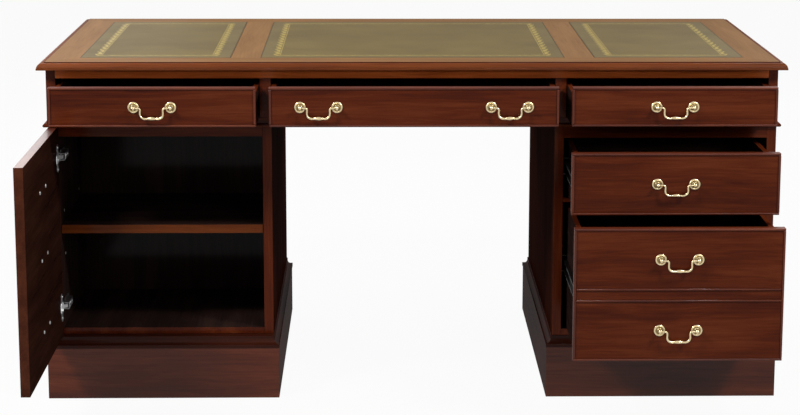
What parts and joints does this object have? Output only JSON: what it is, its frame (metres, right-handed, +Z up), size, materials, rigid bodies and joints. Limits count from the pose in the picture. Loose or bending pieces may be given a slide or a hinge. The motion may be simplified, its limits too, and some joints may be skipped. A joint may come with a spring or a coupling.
{
  "type": "partners desk",
  "caption": "Two-sided pedestal writing desk with a leather-topped frieze of drawers over an open kneehole, drawers and a cupboard in each pedestal.",
  "frame": {"origin": "on the floor under the plan centre of the top", "axes": "+X along the desk to the front user's right, +Y from the front user to the rear user, +Z up"},
  "size_m": [1.676, 1.2975, 0.776],
  "materials": {
    "mahogany": "french polished mahogany veneer",
    "drawer_wood": "polished mahogany fronts on stained boxes",
    "leather": "olive skiver with a gilt tooled band",
    "brass": "polished",
    "steel": "nickel plated"
  },
  "bodies": {
    "root": {"top_panel": "mahogany", "leather_insets": "leather", "frieze_case": "mahogany", "waist_moulding": "mahogany", "pedestal_left": "mahogany", "pedestal_right": "mahogany", "plinth_left": "mahogany", "plinth_right": "mahogany", "cupboard_shelves": "mahogany", "shelf_pegs": "steel", "hinge_arms": "steel", "drawer_runners": "steel"},
    "front_frieze_left": {"front_frieze_left_drawer": "drawer_wood", "front_frieze_left_roses": "brass"},
    "front_frieze_left_bail": {"front_frieze_left_bail": "brass"},
    "front_frieze_centre": {"front_frieze_centre_drawer": "drawer_wood", "front_frieze_centre_roses": "brass"},
    "front_frieze_centre_left_bail": {"front_frieze_centre_left_bail": "brass"},
    "front_frieze_centre_right_bail": {"front_frieze_centre_right_bail": "brass"},
    "front_frieze_right": {"front_frieze_right_drawer": "drawer_wood", "front_frieze_right_roses": "brass"},
    "front_frieze_right_bail": {"front_frieze_right_bail": "brass"},
    "front_upper": {"front_upper_drawer": "drawer_wood", "front_upper_roses": "brass"},
    "front_upper_bail": {"front_upper_bail": "brass"},
    "front_file": {"front_file_drawer": "drawer_wood", "front_file_roses": "brass"},
    "front_file_top_bail": {"front_file_top_bail": "brass"},
    "front_file_low_bail": {"front_file_low_bail": "brass"},
    "front_door": {"front_door": "mahogany", "front_door_roses": "brass", "front_hinge_cups": "steel"},
    "front_hinge_links": {"front_hinge_links": "steel"},
    "front_door_top_bail": {"front_door_top_bail": "brass"},
    "front_door_middle_bail": {"front_door_middle_bail": "brass"},
    "front_door_low_bail": {"front_door_low_bail": "brass"},
    "rear_frieze_left": {"rear_frieze_left_drawer": "drawer_wood", "rear_frieze_left_roses": "brass"},
    "rear_frieze_left_bail": {"rear_frieze_left_bail": "brass"},
    "rear_frieze_centre": {"rear_frieze_centre_drawer": "drawer_wood", "rear_frieze_centre_roses": "brass"},
    "rear_frieze_centre_left_bail": {"rear_frieze_centre_left_bail": "brass"},
    "rear_frieze_centre_right_bail": {"rear_frieze_centre_right_bail": "brass"},
    "rear_frieze_right": {"rear_frieze_right_drawer": "drawer_wood", "rear_frieze_right_roses": "brass"},
    "rear_frieze_right_bail": {"rear_frieze_right_bail": "brass"},
    "rear_upper": {"rear_upper_drawer": "drawer_wood", "rear_upper_roses": "brass"},
    "rear_upper_bail": {"rear_upper_bail": "brass"},
    "rear_file": {"rear_file_drawer": "drawer_wood", "rear_file_roses": "brass"},
    "rear_file_top_bail": {"rear_file_top_bail": "brass"},
    "rear_file_low_bail": {"rear_file_low_bail": "brass"},
    "rear_door": {"rear_door": "mahogany", "rear_door_roses": "brass", "rear_hinge_cups": "steel"},
    "rear_hinge_links": {"rear_hinge_links": "steel"},
    "rear_door_top_bail": {"rear_door_top_bail": "brass"},
    "rear_door_middle_bail": {"rear_door_middle_bail": "brass"},
    "rear_door_low_bail": {"rear_door_low_bail": "brass"}
  },
  "joints": [
    {"name": "front_frieze_left_slide", "type": "slide", "parent": "root", "child": "front_frieze_left", "axis": [0, -1, 0], "range_m": [-0.132, 0.13]},
    {"name": "front_frieze_left_bail_swing", "type": "hinge", "parent": "front_frieze_left", "child": "front_frieze_left_bail", "pos_m": [-0.5715, -0.539, 0.6935], "axis": [-1, 0, 0], "range_deg": [-20, 95]},
    {"name": "front_frieze_centre_slide", "type": "slide", "parent": "root", "child": "front_frieze_centre", "axis": [0, -1, 0], "range_m": [-0.132, 0.13]},
    {"name": "front_frieze_centre_left_bail_swing", "type": "hinge", "parent": "front_frieze_centre", "child": "front_frieze_centre_left_bail", "pos_m": [-0.209, -0.539, 0.6935], "axis": [-1, 0, 0], "range_deg": [-20, 95]},
    {"name": "front_frieze_centre_right_bail_swing", "type": "hinge", "parent": "front_frieze_centre", "child": "front_frieze_centre_right_bail", "pos_m": [0.209, -0.539, 0.6935], "axis": [-1, 0, 0], "range_deg": [-20, 95]},
    {"name": "front_frieze_right_slide", "type": "slide", "parent": "root", "child": "front_frieze_right", "axis": [0, -1, 0], "range_m": [-0.132, 0.13]},
    {"name": "front_frieze_right_bail_swing", "type": "hinge", "parent": "front_frieze_right", "child": "front_frieze_right_bail", "pos_m": [0.5715, -0.539, 0.6935], "axis": [-1, 0, 0], "range_deg": [-20, 95]},
    {"name": "front_upper_slide", "type": "slide", "parent": "root", "child": "front_upper", "axis": [0, -1, 0], "range_m": [-0.19, 0.11]},
    {"name": "front_upper_bail_swing", "type": "hinge", "parent": "front_upper", "child": "front_upper_bail", "pos_m": [0.5695, -0.597, 0.5325], "axis": [-1, 0, 0], "range_deg": [-20, 95]},
    {"name": "front_file_slide", "type": "slide", "parent": "root", "child": "front_file", "axis": [0, -1, 0], "range_m": [-0.277, 0.06]},
    {"name": "front_file_top_bail_swing", "type": "hinge", "parent": "front_file", "child": "front_file_top_bail", "pos_m": [0.5695, -0.684, 0.3845], "axis": [-1, 0, 0], "range_deg": [-20, 95]},
    {"name": "front_file_low_bail_swing", "type": "hinge", "parent": "front_file", "child": "front_file_low_bail", "pos_m": [0.5695, -0.684, 0.2275], "axis": [-1, 0, 0], "range_deg": [-20, 95]},
    {"name": "front_door_hinge", "type": "hinge", "parent": "root", "child": "front_door", "pos_m": [-0.811, -0.387, 0.3855], "axis": [0, 0, -1], "range_deg": [-90, 10]},
    {"name": "front_hinge_links_swing", "type": "hinge", "parent": "root", "child": "front_hinge_links", "pos_m": [-0.79, -0.381, 0.3855], "axis": [0, 0, 1], "range_deg": [-65.36, 7.71]},
    {"name": "front_door_top_bail_swing", "type": "hinge", "parent": "front_door", "child": "front_door_top_bail", "pos_m": [-0.831, -0.6285, 0.5325], "axis": [0, 1, 0], "range_deg": [-20, 95]},
    {"name": "front_door_middle_bail_swing", "type": "hinge", "parent": "front_door", "child": "front_door_middle_bail", "pos_m": [-0.831, -0.6285, 0.3845], "axis": [0, 1, 0], "range_deg": [-20, 95]},
    {"name": "front_door_low_bail_swing", "type": "hinge", "parent": "front_door", "child": "front_door_low_bail", "pos_m": [-0.831, -0.6285, 0.2275], "axis": [0, 1, 0], "range_deg": [-20, 95]},
    {"name": "rear_frieze_left_slide", "type": "slide", "parent": "root", "child": "rear_frieze_left", "axis": [0, 1, 0], "range_m": [0, 0.262]},
    {"name": "rear_frieze_left_bail_swing", "type": "hinge", "parent": "rear_frieze_left", "child": "rear_frieze_left_bail", "pos_m": [0.5715, 0.407, 0.6935], "axis": [1, 0, 0], "range_deg": [-20, 95]},
    {"name": "rear_frieze_centre_slide", "type": "slide", "parent": "root", "child": "rear_frieze_centre", "axis": [0, 1, 0], "range_m": [0, 0.262]},
    {"name": "rear_frieze_centre_left_bail_swing", "type": "hinge", "parent": "rear_frieze_centre", "child": "rear_frieze_centre_left_bail", "pos_m": [0.209, 0.407, 0.6935], "axis": [1, 0, 0], "range_deg": [-20, 95]},
    {"name": "rear_frieze_centre_right_bail_swing", "type": "hinge", "parent": "rear_frieze_centre", "child": "rear_frieze_centre_right_bail", "pos_m": [-0.209, 0.407, 0.6935], "axis": [1, 0, 0], "range_deg": [-20, 95]},
    {"name": "rear_frieze_right_slide", "type": "slide", "parent": "root", "child": "rear_frieze_right", "axis": [0, 1, 0], "range_m": [0, 0.262]},
    {"name": "rear_frieze_right_bail_swing", "type": "hinge", "parent": "rear_frieze_right", "child": "rear_frieze_right_bail", "pos_m": [-0.5715, 0.407, 0.6935], "axis": [1, 0, 0], "range_deg": [-20, 95]},
    {"name": "rear_upper_slide", "type": "slide", "parent": "root", "child": "rear_upper", "axis": [0, 1, 0], "range_m": [0, 0.3]},
    {"name": "rear_upper_bail_swing", "type": "hinge", "parent": "rear_upper", "child": "rear_upper_bail", "pos_m": [-0.5695, 0.407, 0.5325], "axis": [1, 0, 0], "range_deg": [-20, 95]},
    {"name": "rear_file_slide", "type": "slide", "parent": "root", "child": "rear_file", "axis": [0, 1, 0], "range_m": [0, 0.337]},
    {"name": "rear_file_top_bail_swing", "type": "hinge", "parent": "rear_file", "child": "rear_file_top_bail", "pos_m": [-0.5695, 0.407, 0.3845], "axis": [1, 0, 0], "range_deg": [-20, 95]},
    {"name": "rear_file_low_bail_swing", "type": "hinge", "parent": "rear_file", "child": "rear_file_low_bail", "pos_m": [-0.5695, 0.407, 0.2275], "axis": [1, 0, 0], "range_deg": [-20, 95]},
    {"name": "rear_door_hinge", "type": "hinge", "parent": "root", "child": "rear_door", "pos_m": [0.811, 0.387, 0.3855], "axis": [0, 0, -1], "range_deg": [0, 100]},
    {"name": "rear_hinge_links_swing", "type": "hinge", "parent": "root", "child": "rear_hinge_links", "pos_m": [0.79, 0.381, 0.3855], "axis": [0, 0, 1], "range_deg": [0, 72.57]},
    {"name": "rear_door_top_bail_swing", "type": "hinge", "parent": "rear_door", "child": "rear_door_top_bail", "pos_m": [0.5695, 0.407, 0.5325], "axis": [1, 0, 0], "range_deg": [-20, 95]},
    {"name": "rear_door_middle_bail_swing", "type": "hinge", "parent": "rear_door", "child": "rear_door_middle_bail", "pos_m": [0.5695, 0.407, 0.3845], "axis": [1, 0, 0], "range_deg": [-20, 95]},
    {"name": "rear_door_low_bail_swing", "type": "hinge", "parent": "rear_door", "child": "rear_door_low_bail", "pos_m": [0.5695, 0.407, 0.2275], "axis": [1, 0, 0], "range_deg": [-20, 95]}
  ],
  "couplings": [
    {"joint": "front_hinge_links_swing", "follows": "front_door_hinge", "ratio": 0.72067},
    {"joint": "rear_hinge_links_swing", "follows": "rear_door_hinge", "ratio": 0.72067}
  ]
}
